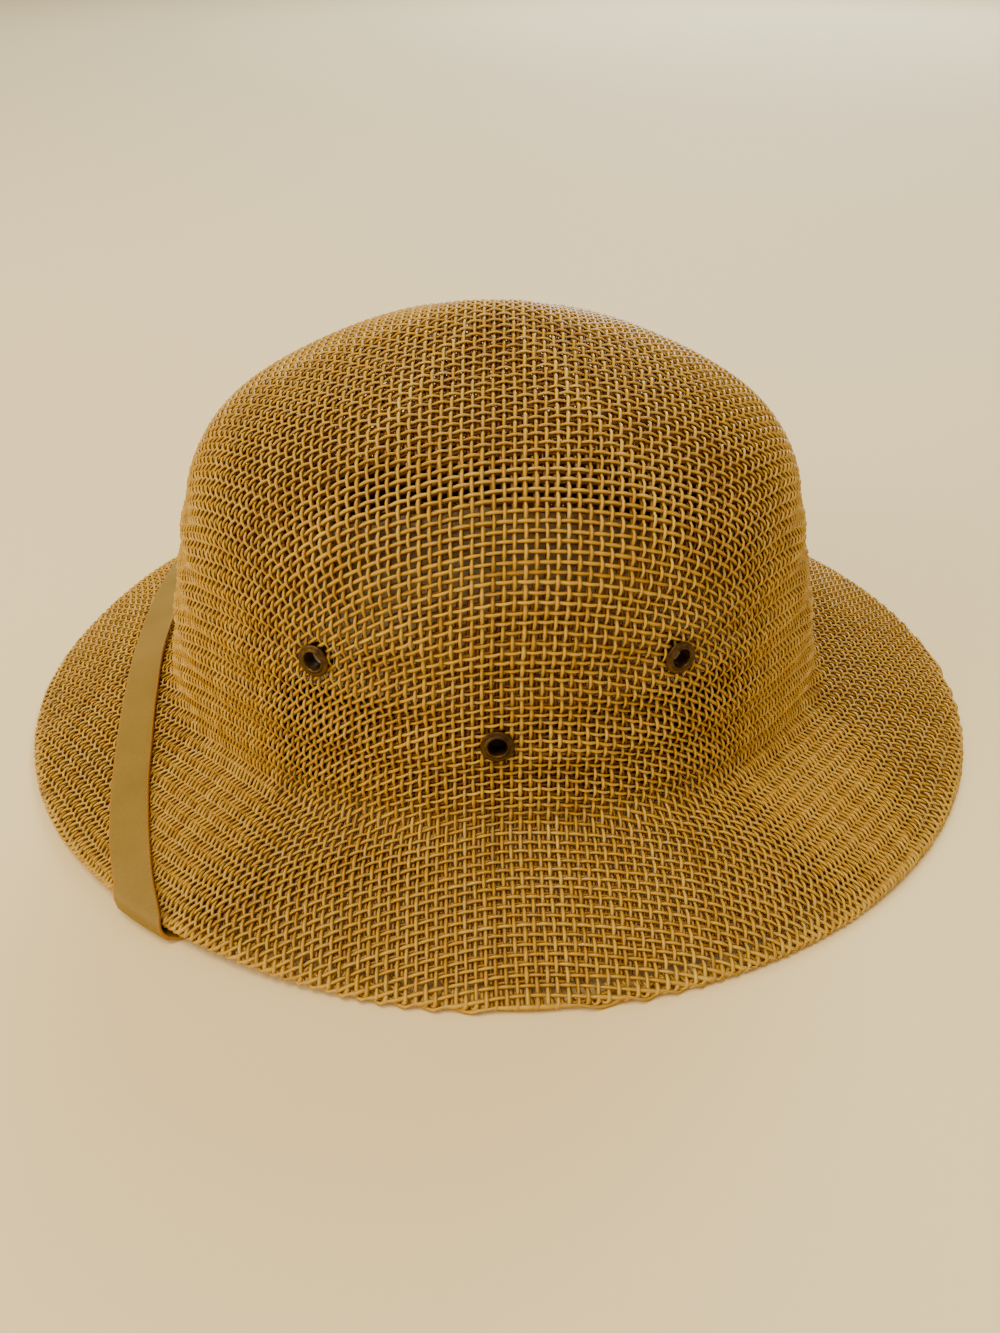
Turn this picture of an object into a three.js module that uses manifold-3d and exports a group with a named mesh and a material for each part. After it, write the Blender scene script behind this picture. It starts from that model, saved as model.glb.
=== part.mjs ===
// Woven straw sun helmet: a domed six-panel crown and a wide sloping oval brim, blocked in one from a
// double straw cloth, with vent eyelets, a sweatband inside and a chin strap laid over the front brim.
// Millimetres, +Z up. The front of the hat looks toward -X, and the brim stands on z = 0.

import * as THREE from "three";
import Module from "manifold-3d";
import { mergeVertices } from "three/addons/utils/BufferGeometryUtils.js";

// Straw wall, from the top of the crown down to the brim's edge.
// forward: how far the section's middle lies ahead of the brim's. dip: how far the side panels sink between
// their ridges. rib: height of the pressed rings. rings: mesh rings in the stretch that ends at this section.
const SECTIONS = [
  { at: "apex", z: 137.8, halfLength: 0, halfWidth: 0, forward: 1, dip: 0, rib: 0, rings: 0 },
  { at: "crest", z: 130.6, halfLength: 33, halfWidth: 27.8, forward: 1, dip: 1.6, rib: 0, rings: 2 },
  { at: "roof", z: 121, halfLength: 58.7, halfWidth: 54, forward: 1, dip: 2.2, rib: 0, rings: 2 },
  { at: "eaves", z: 109, halfLength: 81.2, halfWidth: 69.4, forward: 1, dip: 2.6, rib: 0, rings: 2 },
  { at: "shoulder", z: 95.5, halfLength: 93.3, halfWidth: 80, forward: 1, dip: 1.8, rib: 0, rings: 2 },
  { at: "band top", z: 79, halfLength: 99.6, halfWidth: 84.7, forward: 1.4, dip: 0.4, rib: 0.4, rings: 2 },
  { at: "band middle", z: 62, halfLength: 104.1, halfWidth: 88, forward: 1.5, dip: 0, rib: 0.55, rings: 4 },
  { at: "band low", z: 45, halfLength: 108.8, halfWidth: 91.6, forward: 1.5, dip: 0, rib: 0.55, rings: 4 },
  { at: "foot", z: 26.5, halfLength: 113, halfWidth: 95.2, forward: 1.5, dip: 0, rib: 0.4, rings: 3 },
  { at: "root", z: 20.2, halfLength: 116.4, halfWidth: 98, forward: 1.5, dip: 0, rib: 0, rings: 2 },
  { at: "brim start", z: 17.9, halfLength: 122.3, halfWidth: 103.4, forward: 1.4, dip: 0, rib: 0, rings: 1 },
  { at: "inner brim", z: 14.1, halfLength: 136, halfWidth: 115.6, forward: 1, dip: 0, rib: 0, rings: 1 },
  { at: "outer brim", z: 8.8, halfLength: 151.3, halfWidth: 129.6, forward: 0.5, dip: 0, rib: 0, rings: 2 },
  { at: "edge", z: 2.6, halfLength: 167, halfWidth: 143.6, forward: 0, dip: 0, rib: 0, rings: 2 },
];
const ROOT_ROW = SECTIONS.findIndex((section) => section.at === "root");
const EDGE_ROW = SECTIONS.length - 1;
const WALL = 2.2;
const SEGMENTS = 60;
const PANELS = 6;
const END_PANEL_DIP = 0.15;
const RIDGE_SOFTNESS = 0.08;
const RIB_PITCH = 15;
const RIB_CREST = 59.5;

// Hem: the edge is turned under and pressed flat where the hat stands. Distances from its upper edge.
const HEM_DROP = 1.9;
const HEM_CHAMFER = 0.7;
const HEM_FLAT = 2.6;
const HEM_STEP = 1.4;

// Vent eyelets: place on the crown by length and height, and their turned section.
const EYELETS = [
  { name: "front", x: -50.1, z: 66.3 },
  { name: "rear", x: 50, z: 66.3 },
  { name: "low", x: 0, z: 47.6 },
];
const EYELET_SIDES = [
  { name: "near", side: -1 },
  { name: "far", side: 1 },
];
const EYELET_SEGMENTS = 14;
const BORE_RADIUS = 2.5;
const BARREL_RADIUS = 3.1;
const FLANGE_RADIUS = 4.75;
const FLANGE_HEIGHT = 1;
const CLINCH_RADIUS = 4.15;
const CLINCH_HEIGHT = 0.8;
const HOLE_RADIUS = 3.4;
const FLANGE_GAP = 0.35;
const CLINCH_GAP = 0.65;
const SEAT_FLAT = 6;
const SEAT_FADE = 12;

// Sweatband: sewn in at its lower edge, leaning away from the wall toward its top.
const BAND_LOW = 26;
const BAND_HIGH = 55;
const BAND_THICKNESS = 1.2;
const BAND_GAP_LOW = 0.5;
const BAND_GAP_HIGH = 3;

// Chin strap. The route runs from its near end under the brim, round the near edge, across the top of the
// front brim, round the far edge and back under the brim to its far end.
// angle: place round the oval in degrees. inboard: distance in from the brim's edge.
const STRAP_WIDTH = 12;
const STRAP_THICKNESS = 1.4;
const STRAP_GAP = 0.6;
const STRAP_ROUTE = [
  { angle: -98, inboard: 39, face: "under" },
  { angle: -109, inboard: 31.5, face: "under" },
  { angle: -118.3, inboard: 17, face: "under" },
  { angle: -125.2, inboard: 0, face: "under" },
  { angle: -127.8, inboard: 0, face: "top" },
  { angle: -134, inboard: 12, face: "top" },
  { angle: -141, inboard: 22.9, face: "top" },
  { angle: -150.5, inboard: 34.2, face: "top" },
  { angle: -162, inboard: 42, face: "top" },
  { angle: -174, inboard: 44.3, face: "top" },
  { angle: -186, inboard: 41.8, face: "top" },
  { angle: -197, inboard: 34.2, face: "top" },
  { angle: -207, inboard: 22.4, face: "top" },
  { angle: -219.2, inboard: 0, face: "top" },
  { angle: -221.8, inboard: 0, face: "under" },
  { angle: -230, inboard: 18, face: "under" },
  { angle: -242, inboard: 33, face: "under" },
  { angle: -256, inboard: 39, face: "under" },
];
const STRAP_LIFTS = [-126.5, -220.5];
const LIFT_HEIGHT = 2.7;
const LIFT_FULL = 7;
const LIFT_FADE = 30;
const TURN_RADIUS = 1.95;
const TURN_SPREAD = 0.25;
const TURN_LENGTH = 6;
const TURN_INSET = { along: 1.2, below: 1.5 };
const UNDER_HEM_EXTRA = 1.5;
const UNDER_HEM_FADE = 12;
const SLANT_FADE = 15;
const STRAP_STEP = 6.5;
const STRAP_TURN_STEP = 1.5;
const STRAP_COLUMNS = [-1, 0, 1];

function finish(name, color, roughness, metalness) {
  return new THREE.MeshStandardMaterial({ name, color, roughness, metalness });
}

const STRAW = finish("straw", 0xc2964b, 0.55, 0);
const BRONZE = finish("bronze", 0x3d2e1a, 0.4, 0.8);
const BROWN_BAND = finish("sweatband", 0x38230f, 0.7, 0);
const TAN_STRAP = finish("strap", 0xa58237, 0.5, 0);

const wasm = await Module();
wasm.setup();

const smoothstep = THREE.MathUtils.smoothstep;

// One column of the section table at a fractional row, on a curve through all its rows.
function column(name, row) {
  const last = SECTIONS.length - 1;
  const index = THREE.MathUtils.clamp(Math.floor(row), 0, last - 1);
  const value = (i) => {
    if (i < 0) {
      const mirrored = SECTIONS[-i][name];
      return name.startsWith("half") ? -mirrored : mirrored;
    }
    if (i > last) {
      return 2 * SECTIONS[last][name] - SECTIONS[last - 1][name];
    }
    return SECTIONS[i][name];
  };
  const [a, b, c, d] = [value(index - 1), value(index), value(index + 1), value(index + 2)];
  const f = row - index;
  const bend = (2 * a - 5 * b + 4 * c - d) * f + (3 * (b - c) + d - a) * f * f;
  return b + 0.5 * f * (c - a + bend);
}

// Row of the table where the wall has a given height.
function rowAtHeight(z) {
  let [high, low] = [0, EDGE_ROW];
  for (let step = 0; step < 40; step += 1) {
    const middle = (high + low) / 2;
    if (column("z", middle) > z) {
      high = middle;
    } else {
      low = middle;
    }
  }
  return (high + low) / 2;
}

// The brim rises a little where the strap passes under its edge.
function edgeLift(angle, row) {
  const outward = THREE.MathUtils.clamp((row - ROOT_ROW) / (EDGE_ROW - ROOT_ROW), 0, 1);
  let lift = 0;
  for (const centre of STRAP_LIFTS) {
    const turns = Math.cos(angle - THREE.MathUtils.degToRad(centre));
    const away = THREE.MathUtils.radToDeg(Math.acos(THREE.MathUtils.clamp(turns, -1, 1)));
    lift = Math.max(lift, LIFT_HEIGHT * (1 - smoothstep(away, LIFT_FULL, LIFT_FADE)));
  }
  return lift * outward * Math.sqrt(outward);
}

function plainWall(angle, row) {
  return new THREE.Vector3(
    column("halfLength", row) * Math.cos(angle) - column("forward", row),
    column("halfWidth", row) * Math.sin(angle),
    column("z", row) + edgeLift(angle, row),
  );
}

// Outward normal of the wall and the direction down it.
function wallFrame(angle, row) {
  if (row < 1e-6) {
    return { normal: new THREE.Vector3(0, 0, 1), down: new THREE.Vector3(1, 0, 0) };
  }
  const step = 1e-3;
  const down = plainWall(angle, row + step).sub(plainWall(angle, row - step)).normalize();
  const round = plainWall(angle + step, row).sub(plainWall(angle - step, row)).normalize();
  return { normal: down.clone().cross(round).normalize(), down };
}

function eyeletPlace({ x, z }, side) {
  const row = rowAtHeight(z);
  const angle = side * Math.acos((x + column("forward", row)) / column("halfLength", row));
  return { angle, row, centre: plainWall(angle, row), normal: wallFrame(angle, row).normal };
}

const eyeletPlaces = EYELET_SIDES.flatMap(({ name, side }) =>
  EYELETS.map((eyelet) => ({ name: `eyelet_${name}_${eyelet.name}`, ...eyeletPlace(eyelet, side) })),
);

// Pressed relief: panels sunk between the ridges, those at the front and rear less than those at the sides,
// and rings round the foot of the crown.
function relief(angle, row, point) {
  const slant = Math.sin((PANELS / 2) * angle);
  const crease = Math.sqrt(slant * slant + RIDGE_SOFTNESS ** 2) - RIDGE_SOFTNESS;
  const depth = crease / (Math.sqrt(1 + RIDGE_SOFTNESS ** 2) - RIDGE_SOFTNESS);
  const atEnd = Math.abs(Math.cos(angle)) > Math.cos(Math.PI / 3);
  const sunk = column("dip", row) * depth * (atEnd ? END_PANEL_DIP : 1);
  const ring = column("rib", row) * Math.cos((2 * Math.PI * (point.z - RIB_CREST)) / RIB_PITCH);
  let press = 1;
  for (const { centre } of eyeletPlaces) {
    press = Math.min(press, smoothstep(point.distanceTo(centre), SEAT_FLAT, SEAT_FADE));
  }
  return ring * press - sunk;
}

// Point of the straw at a depth below its outer face.
function straw(angle, row, depth = 0) {
  const point = plainWall(angle, row);
  return point.addScaledVector(wallFrame(angle, row).normal, relief(angle, row, point) - depth);
}

const meshRows = SECTIONS.flatMap(({ rings }, index) =>
  Array.from({ length: rings }, (unused, ring) => index - 1 + (ring + 1) / rings),
);

const angleOf = (segment) => (2 * Math.PI * segment) / SEGMENTS;

function ringOf(pointAt) {
  return Array.from({ length: SEGMENTS }, (unused, segment) => pointAt(angleOf(segment)));
}

// Rings of the hem, from the brim's upper edge round to the start of its underside.
function hemRings() {
  const turns = [
    { inward: 0, drop: HEM_DROP },
    { inward: HEM_CHAMFER, drop: HEM_DROP + HEM_CHAMFER },
    { inward: HEM_CHAMFER + HEM_FLAT, drop: HEM_DROP + HEM_CHAMFER },
    { inward: HEM_CHAMFER + HEM_FLAT, drop: HEM_DROP + HEM_CHAMFER - HEM_STEP },
  ];
  return turns.map(({ inward, drop }) =>
    ringOf((angle) => {
      const edge = straw(angle, EDGE_ROW);
      const out = wallFrame(angle, EDGE_ROW).down.setZ(0).normalize();
      return edge.addScaledVector(out, -inward).setZ(edge.z - drop);
    }),
  );
}

// Closed body from a loop of rings. A ring of one point is a pole.
function bodyFromRings(rings, closed) {
  const positions = [];
  const starts = rings.map((ring) => {
    const start = positions.length / 3;
    ring.forEach((point) => positions.push(point.x, point.y, point.z));
    return start;
  });
  const index = [];
  const pairs = closed ? rings.length : rings.length - 1;
  for (let i = 0; i < pairs; i += 1) {
    const next = (i + 1) % rings.length;
    const corner = (ring, s) => starts[ring] + (s % rings[ring].length);
    for (let s = 0; s < SEGMENTS; s += 1) {
      if (rings[i].length > 1) {
        index.push(corner(i, s), corner(next, s), corner(i, s + 1));
      }
      if (rings[next].length > 1) {
        index.push(corner(i, s + 1), corner(next, s), corner(next, s + 1));
      }
    }
  }
  return indexedGeometry(positions, index);
}

function indexedGeometry(positions, index) {
  const geometry = new THREE.BufferGeometry();
  geometry.setAttribute("position", new THREE.Float32BufferAttribute(positions, 3));
  geometry.setIndex(index);
  return geometry;
}

function toManifold(geometry) {
  const bare = geometry.clone();
  bare.deleteAttribute("normal");
  bare.deleteAttribute("uv");
  const merged = mergeVertices(bare, 1e-4);
  return new wasm.Manifold(
    new wasm.Mesh({
      numProp: 3,
      vertProperties: Float32Array.from(merged.attributes.position.array),
      triVerts: Uint32Array.from(merged.index.array),
    }),
  );
}

function fromManifold(solid) {
  const mesh = solid.getMesh();
  return indexedGeometry(Array.from(mesh.vertProperties), Array.from(mesh.triVerts));
}

function facing(normal) {
  return new THREE.Quaternion().setFromUnitVectors(new THREE.Vector3(0, 1, 0), normal);
}

// Crown and brim: outer skin, hem and inner skin in one loop, with a hole for each eyelet.
function strawBody() {
  const outer = [[straw(0, 0)], ...meshRows.map((row) => ringOf((angle) => straw(angle, row)))];
  const innerRows = meshRows.slice(0, -1).reverse();
  const inner = [...innerRows.map((row) => ringOf((angle) => straw(angle, row, WALL))), [straw(0, 0, WALL)]];
  let solid = toManifold(bodyFromRings([...outer, ...hemRings(), ...inner], false));
  for (const { centre, normal } of eyeletPlaces) {
    const drill = new THREE.CylinderGeometry(HOLE_RADIUS, HOLE_RADIUS, 4 * WALL, EYELET_SEGMENTS);
    drill.applyQuaternion(facing(normal)).translate(centre.x, centre.y, centre.z);
    solid = solid.subtract(toManifold(drill));
  }
  return fromManifold(solid);
}

// Turned eyelet: rolled flange outside, barrel through the straw, clinched flange inside.
function eyeletGeometry() {
  const inside = -(WALL + CLINCH_GAP);
  const lip = FLANGE_GAP + FLANGE_HEIGHT;
  const section = [
    [BORE_RADIUS, inside - 0.6 * CLINCH_HEIGHT],
    [0.6 * BORE_RADIUS + 0.4 * CLINCH_RADIUS, inside - CLINCH_HEIGHT],
    [CLINCH_RADIUS, inside - 0.4 * CLINCH_HEIGHT],
    [CLINCH_RADIUS, inside],
    [BARREL_RADIUS, inside],
    [BARREL_RADIUS, FLANGE_GAP],
    [FLANGE_RADIUS, FLANGE_GAP],
    [FLANGE_RADIUS, FLANGE_GAP + 0.35 * FLANGE_HEIGHT],
    [0.75 * FLANGE_RADIUS + 0.25 * BORE_RADIUS, FLANGE_GAP + 0.7 * FLANGE_HEIGHT],
    [0.5 * FLANGE_RADIUS + 0.5 * BORE_RADIUS, FLANGE_GAP + 0.6 * FLANGE_HEIGHT],
    [0.25 * FLANGE_RADIUS + 0.75 * BORE_RADIUS, lip],
    [BORE_RADIUS, FLANGE_GAP + 0.6 * FLANGE_HEIGHT],
  ].map(([radius, height]) => new THREE.Vector2(radius, height));
  return new THREE.LatheGeometry([...section, section[0].clone()], EYELET_SEGMENTS);
}

function sweatband() {
  const corner = (z, gap, thickness) => {
    const row = rowAtHeight(z);
    return ringOf((angle) => {
      const depth = WALL + gap + thickness;
      return plainWall(angle, row).addScaledVector(wallFrame(angle, row).normal, -depth);
    });
  };
  return bodyFromRings(
    [
      corner(BAND_HIGH, BAND_GAP_HIGH, 0),
      corner(BAND_LOW, BAND_GAP_LOW, 0),
      corner(BAND_LOW, BAND_GAP_LOW, BAND_THICKNESS),
      corner(BAND_HIGH, BAND_GAP_HIGH, BAND_THICKNESS),
    ],
    true,
  );
}

// Row of the brim at a distance in from its edge.
function rowInboard(angle, inboard) {
  const edge = plainWall(angle, EDGE_ROW);
  let [within, beyond] = [ROOT_ROW - 1, EDGE_ROW];
  for (let step = 0; step < 30; step += 1) {
    const middle = (within + beyond) / 2;
    if (plainWall(angle, middle).distanceTo(edge) > inboard) {
      within = middle;
    } else {
      beyond = middle;
    }
  }
  return (within + beyond) / 2;
}

// Point of a sheet wrapped over the brim, at a rise off the straw. across runs out over the top face to
// the edge at 0, round the hem, and in under the brim from TURN_LENGTH on.
function wrapped(angle, across, rise) {
  if (across <= 0) {
    const row = rowInboard(angle, -across);
    return straw(angle, row, -rise);
  }
  if (across >= TURN_LENGTH) {
    const inboard = across - TURN_LENGTH;
    const row = rowInboard(angle, inboard + TURN_INSET.along);
    const extra = UNDER_HEM_EXTRA * (1 - smoothstep(inboard, 0, UNDER_HEM_FADE));
    return straw(angle, row, WALL + extra + rise);
  }
  const { normal, down } = wallFrame(angle, EDGE_ROW);
  const turn = Math.PI * (0.5 - across / TURN_LENGTH);
  const radius = TURN_RADIUS + rise + (TURN_SPREAD * (1 - Math.sin(turn))) / 2;
  return straw(angle, EDGE_ROW, TURN_INSET.below)
    .addScaledVector(down, -TURN_INSET.along + radius * Math.cos(turn))
    .addScaledVector(normal, radius * Math.sin(turn));
}

// Stations of the strap on the unrolled brim: close together round the edge, wider apart elsewhere.
function strapStations() {
  const { halfLength, halfWidth } = SECTIONS[EDGE_ROW];
  const mmPerDegree = THREE.MathUtils.degToRad((halfLength + halfWidth) / 2);
  const points = STRAP_ROUTE.map(({ angle, inboard, face }) => {
    const across = face === "top" ? -inboard : TURN_LENGTH + inboard;
    return new THREE.Vector3(angle * mmPerDegree, across, 0);
  });
  const fine = new THREE.CatmullRomCurve3(points, false, "centripetal").getSpacedPoints(900);
  const kept = [fine[0]];
  for (const point of fine) {
    const turning = point.y > -STRAP_TURN_STEP && point.y < TURN_LENGTH + STRAP_TURN_STEP;
    if (point.distanceTo(kept[kept.length - 1]) >= (turning ? STRAP_TURN_STEP : STRAP_STEP)) {
      kept.push(point);
    }
  }
  return kept.map((point, i) => {
    const heading = kept[Math.min(i + 1, kept.length - 1)].clone().sub(kept[Math.max(i - 1, 0)]).normalize();
    return { angle: THREE.MathUtils.degToRad(point.x / mmPerDegree), across: point.y, heading };
  });
}

function chinStrap() {
  const stations = strapStations();
  const positions = [];
  const sideOf = 2 * STRAP_COLUMNS.length;
  for (const { angle, across, heading } of stations) {
    const step = 1e-3;
    const here = wrapped(angle, across, STRAP_GAP);
    const mmPerRadian = wrapped(angle + step, across, STRAP_GAP).distanceTo(here) / step;
    const offEdge = Math.max(-across, across - TURN_LENGTH);
    const slant = (1 - smoothstep(offEdge, 2, SLANT_FADE)) * (heading.x / heading.y);
    const columns = STRAP_COLUMNS.map((place) => {
      const offset = (place * STRAP_WIDTH) / 2;
      const round = -offset * (heading.y + slant * heading.x);
      return [angle + round / mmPerRadian, across + offset * (heading.x - slant * heading.y)];
    });
    const low = columns.map(([a, p]) => wrapped(a, p, STRAP_GAP));
    const high = columns.map(([a, p]) => wrapped(a, p, STRAP_GAP + STRAP_THICKNESS)).reverse();
    [...low, ...high].forEach((point) => positions.push(point.x, point.y, point.z));
  }
  const index = [];
  for (let i = 0; i < stations.length - 1; i += 1) {
    for (let k = 0; k < sideOf; k += 1) {
      const [a, b] = [i * sideOf + k, i * sideOf + ((k + 1) % sideOf)];
      index.push(a, a + sideOf, b, b, a + sideOf, b + sideOf);
    }
  }
  const end = (stations.length - 1) * sideOf;
  for (let k = 1; k < sideOf - 1; k += 1) {
    index.push(0, k, k + 1, end, end + k + 1, end + k);
  }
  return indexedGeometry(positions, index);
}

function piece(name, geometry, material) {
  const mesh = new THREE.Mesh(geometry, material);
  mesh.name = name;
  return mesh;
}

const hat = new THREE.Group();
hat.add(piece("straw_body", strawBody(), STRAW));
for (const { name, centre, normal } of eyeletPlaces) {
  const eyelet = piece(name, eyeletGeometry(), BRONZE);
  eyelet.position.copy(centre);
  eyelet.quaternion.copy(facing(normal));
  hat.add(eyelet);
}
hat.add(piece("sweatband", sweatband(), BROWN_BAND));
hat.add(piece("chin_strap", chinStrap(), TAN_STRAP));

export default hat;
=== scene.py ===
import math

import bmesh
import bpy
import numpy as np
from mathutils import Matrix, Vector


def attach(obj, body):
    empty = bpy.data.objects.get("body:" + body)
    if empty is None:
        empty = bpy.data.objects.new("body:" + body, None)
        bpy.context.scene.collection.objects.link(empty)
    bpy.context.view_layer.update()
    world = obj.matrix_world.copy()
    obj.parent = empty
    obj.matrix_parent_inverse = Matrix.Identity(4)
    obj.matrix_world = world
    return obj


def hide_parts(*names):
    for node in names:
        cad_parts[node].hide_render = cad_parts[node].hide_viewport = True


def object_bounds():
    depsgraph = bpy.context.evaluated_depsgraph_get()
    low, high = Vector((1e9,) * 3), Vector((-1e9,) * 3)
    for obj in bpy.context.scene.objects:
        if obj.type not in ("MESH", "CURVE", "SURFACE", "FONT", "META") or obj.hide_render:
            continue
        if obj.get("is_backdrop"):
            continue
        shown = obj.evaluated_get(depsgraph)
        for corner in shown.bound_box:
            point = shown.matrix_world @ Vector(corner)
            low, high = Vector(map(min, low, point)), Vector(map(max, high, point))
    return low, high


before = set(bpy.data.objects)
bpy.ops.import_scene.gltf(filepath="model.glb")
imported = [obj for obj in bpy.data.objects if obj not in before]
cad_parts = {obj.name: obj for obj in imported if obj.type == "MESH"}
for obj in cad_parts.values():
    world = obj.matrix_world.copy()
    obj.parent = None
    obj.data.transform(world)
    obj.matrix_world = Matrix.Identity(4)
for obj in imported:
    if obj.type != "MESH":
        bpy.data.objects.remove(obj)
cad_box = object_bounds()

# The blocked form. Crown and brim are one wall, steamed to shape over a wooden block: an oval dome with six
# soft ridges, a few pressed rings at its foot, and a brim that slopes down to the surface it stands on.
# Every other piece is laid on this wall, so its sizes are here, in millimetres.
MM = 0.001
WALL_COLUMNS = ("z", "half_length", "half_width", "forward", "dip", "rib")
WALL_SECTIONS = {
    "apex": (137.8, 0, 0, 1, 0, 0),
    "crest": (130.6, 33, 27.8, 1, 1.6, 0),
    "roof": (121, 58.7, 54, 1, 2.2, 0),
    "eaves": (109, 81.2, 69.4, 1, 2.6, 0),
    "shoulder": (95.5, 93.3, 80, 1, 1.8, 0),
    "band top": (79, 99.6, 84.7, 1.4, 0.4, 0.4),
    "band middle": (62, 104.1, 88, 1.5, 0, 0.55),
    "band low": (45, 108.8, 91.6, 1.5, 0, 0.55),
    "foot": (26.5, 113, 95.2, 1.5, 0, 0.4),
    "root": (20.2, 116.4, 98, 1.5, 0, 0),
    "brim start": (17.9, 122.3, 103.4, 1.4, 0, 0),
    "inner brim": (14.1, 136, 115.6, 1, 0, 0),
    "outer brim": (8.8, 151.3, 129.6, 0.5, 0, 0),
    "edge": (2.6, 167, 143.6, 0, 0, 0),
}
ROOT_ROW = list(WALL_SECTIONS).index("root")
EDGE_ROW = list(WALL_SECTIONS).index("edge")
WALL_THICKNESS = 2.2
PANELS = 6
END_PANEL_DIP = 0.15
RIDGE_SOFTNESS = 0.08
RIB_PITCH = 15
RIB_CREST = 59.5
LIFT_ANGLES = (-126.5, -220.5)
LIFT_HEIGHT = 2.7
LIFT_FULL = 7
LIFT_FADE = 30
LIFT_CURVE = 1.5
EYELET_SPOTS = {"front": (-50.1, 66.3), "rear": (50, 66.3), "low": (0, 47.6)}
EYELET_SIDES = {"near": -1, "far": 1}
SEAT_FLAT = 6
SEAT_FADE = 12
HEIGHT_SAMPLES = 2000

section_rows = np.array(list(WALL_SECTIONS.values()), float)
past_apex = section_rows[1] * [1, -1, -1, 1, 1, 1]
past_edge = [section_rows[-1] + n * (section_rows[-1] - section_rows[-2]) for n in (1, 2, 3)]
wall_table = np.vstack([past_apex, section_rows, past_edge])


def smoothstep(value, low, high):
    part = np.clip((value - low) / (high - low), 0, 1)
    return part * part * (3 - 2 * part)


def wall_column(name, row):
    """One column of the section table at fractional rows, on a smooth curve through all its rows."""
    row = np.asarray(row, float)
    values = wall_table[:, WALL_COLUMNS.index(name)]
    index = np.clip(np.floor(row).astype(int), 0, EDGE_ROW + 1)
    part = row - index
    before, here, after, beyond = (values[index + n] for n in range(4))
    bend = (2 * before - 5 * here + 4 * after - beyond) * part
    bend += (3 * (here - after) + beyond - before) * part * part
    return here + 0.5 * part * (after - before + bend)


def row_at_height(z):
    rows = np.linspace(0, EDGE_ROW, HEIGHT_SAMPLES)
    return np.interp(-np.asarray(z, float), -wall_column("z", rows), rows)


def plain_wall(p, q):
    """Points of the wall before it is pressed. (p, q) is a map of the hat seen from above: its length is
    the row of the section table and its direction is the place round the oval."""
    p, q = np.asarray(p, float), np.asarray(q, float)
    row = np.hypot(p, q)
    along = p / np.maximum(row, 1e-9)
    across = q / np.maximum(row, 1e-9)
    outward = np.clip((row - ROOT_ROW) / (EDGE_ROW - ROOT_ROW), 0, 1)
    lift = np.zeros_like(row)
    for angle in np.radians(LIFT_ANGLES):
        cosine = np.clip(along * np.cos(angle) + across * np.sin(angle), -1, 1)
        fade = smoothstep(np.degrees(np.arccos(cosine)), LIFT_FULL, LIFT_FADE)
        lift = np.maximum(lift, LIFT_HEIGHT * (1 - fade))
    x = wall_column("half_length", row) * along - wall_column("forward", row)
    y = wall_column("half_width", row) * across
    return np.stack([x, y, wall_column("z", row) + lift * outward**LIFT_CURVE], -1)


def unit(vectors):
    return vectors / np.maximum(np.linalg.norm(vectors, axis=-1, keepdims=True), 1e-12)


def wall_normal(p, q):
    step = 1e-3
    along = plain_wall(p + step, q) - plain_wall(p - step, q)
    across = plain_wall(p, q + step) - plain_wall(p, q - step)
    return unit(np.cross(along, across))


def eyelet_place(side, x, z):
    """Map place of an eyelet from its length and height on the hat."""
    row = row_at_height(z)
    along = (x + wall_column("forward", row)) / wall_column("half_length", row)
    return row * along, side * row * math.sqrt(1 - along**2)


eyelet_places = {
    f"eyelet_{side_name}_{spot_name}": eyelet_place(side, *spot)
    for side_name, side in EYELET_SIDES.items()
    for spot_name, spot in EYELET_SPOTS.items()
}
eyelet_centres = np.array([plain_wall(p, q) for p, q in eyelet_places.values()])


def eyelet_distance(points):
    """Distance from each point to the nearest eyelet's middle."""
    return np.min([np.linalg.norm(points - centre, axis=-1) for centre in eyelet_centres], axis=0)


def straw_wall(p, q):
    """Points of the pressed wall's outer face, with their outward normals."""
    points = plain_wall(p, q)
    normals = wall_normal(p, q)
    row = np.hypot(p, q)
    angle = np.arctan2(q, p)
    crease = np.sqrt(np.sin(PANELS / 2 * angle) ** 2 + RIDGE_SOFTNESS**2) - RIDGE_SOFTNESS
    depth = crease / (math.sqrt(1 + RIDGE_SOFTNESS**2) - RIDGE_SOFTNESS)
    at_end = np.abs(np.cos(angle)) > math.cos(math.pi / 3)
    sunk = wall_column("dip", row) * depth * np.where(at_end, END_PANEL_DIP, 1)
    ring = wall_column("rib", row) * np.cos(2 * np.pi * (points[..., 2] - RIB_CREST) / RIB_PITCH)
    press = smoothstep(eyelet_distance(points), SEAT_FLAT, SEAT_FADE)
    return points + normals * (ring * press - sunk)[..., None], normals


# Straw cloth. Round lacquered straw strands in an open plain weave, two layers thick, blocked as one sheet:
# the squares stretch a little over the crown and shear into diamonds over the shoulders. At the brim's edge
# the outer layer is turned under as a hem, and the inner layer stops inside the fold.
# Lengths are in millimetres, rows are those of the section table, and ASKEW is in degrees.
PITCH = (2.7, 2.67)
CROWN_STRETCH = 0.06
STRETCH_ROWS = (4, 6)
ASKEW = (8.2, 0)
CLOTHS = {
    # wave: height of the weave's waves in lengthwise and in crosswise strands; depth: from the wall's outer
    # face to the layer's middle; width, height: of a strand; reach: how far it goes past the brim's edge;
    # rings: places of a tube's rings beside each crossing, in meshes; painted_shade: how much darker the
    # straw is painted inside the crown, painted shade where the outer layer and the crown shade it
    "outer": {
        "wave": (0.28, 0.47), "depth": 0.8, "width": 1.02, "height": 0.8,
        "reach": 5.5, "rings": (-0.23, 0.23), "painted_shade": 0,
    },
    "inner": {
        "wave": (0.24, 0.34), "depth": 1.95, "width": 1.22, "height": 0.66,
        "reach": -6.8, "rings": (0,), "painted_shade": 0.24,
    },
}
INNER_SLIP = 0.5
IN_LINE_AT = 82
IN_LINE_SPREAD = 22
INNER_STRETCH = 0.0032
HEM_ROLL = 0.6
HEM_START = 1.1
HEM_STEP = 0.2
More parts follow.
